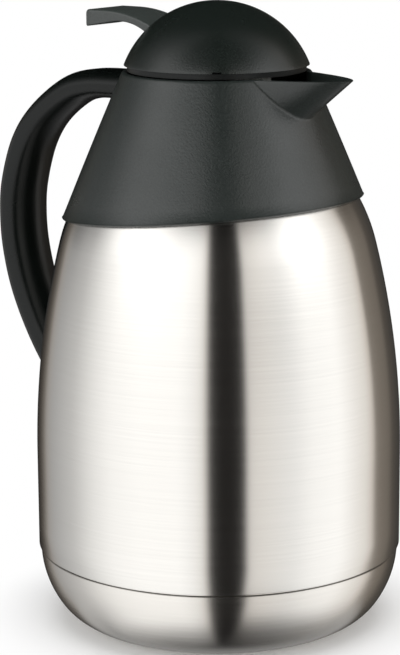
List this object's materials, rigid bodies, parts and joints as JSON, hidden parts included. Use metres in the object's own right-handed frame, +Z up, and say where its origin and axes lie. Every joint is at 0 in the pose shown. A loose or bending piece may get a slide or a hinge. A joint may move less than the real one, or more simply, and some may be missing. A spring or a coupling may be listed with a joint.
{
  "type": "thermal carafe with flip lid",
  "caption": "Insulated steel jug with a moulded collar and spout, a C handle and a domed flip lid that a thumb lever opens.",
  "frame": {"origin": "centre of the ring that the jug stands on, at the axis of the body", "axes": "+Z up along the axis of the body, +X to the spout, -X to the handle, +Y across"},
  "size_m": [0.19, 0.15, 0.2552],
  "materials": {
    "brushed_outer_steel": "brushed round the body",
    "brushed_base_steel": "brushed round the body",
    "inner_steel": "drawn, left plain",
    "bare_steel": "plain",
    "getter_pellet": "sintered",
    "collar_plastic": "fine moulded grain",
    "handle_plastic": "satin",
    "dome_plastic": "fine moulded grain",
    "lever_plastic": "satin",
    "frame_plastic": "satin",
    "stopper_plastic": "satin",
    "stopper_insulation": "foam",
    "seal_silicone": "smooth"
  },
  "bodies": {
    "jug": {"outer_shell": "brushed_outer_steel", "base_cup": "brushed_base_steel", "liner": "inner_steel", "liner_base": "inner_steel", "getter": "getter_pellet", "vacuum_seal": "bare_steel", "neck_gasket": "seal_silicone", "collar": "collar_plastic", "handle": "handle_plastic", "handle_bracket": "bare_steel", "handle_screw": "bare_steel"},
    "stopper_seal": {"stopper_gasket": "seal_silicone"},
    "stopper": {"stopper_body": "stopper_plastic", "stopper_cup": "stopper_plastic", "stopper_foam": "stopper_insulation", "hinge_pin": "bare_steel", "return_spring": "bare_steel"},
    "lid": {"lid_frame": "frame_plastic", "lid_seal": "seal_silicone", "lid_dome": "dome_plastic", "thumb_lever": "lever_plastic"}
  },
  "joints": [
    {"name": "stopper_lift", "type": "slide", "parent": "jug", "child": "stopper_seal", "axis": [0, 0, 1], "range_m": [0, 0.06]},
    {"name": "stopper_turn", "type": "hinge", "parent": "stopper_seal", "child": "stopper", "pos_m": [0, 0, 0.218], "axis": [0, 0, 1], "range_deg": [0, 120]},
    {"name": "lid_flip", "type": "hinge", "parent": "stopper", "child": "lid", "pos_m": [-0.0308, 0, 0.23015], "axis": [0, -1, 0], "range_deg": [0, 32], "stiffness_Nm_per_rad": 0.1, "springref_deg": -34.38, "deforming": ["return_spring"]}
  ]
}
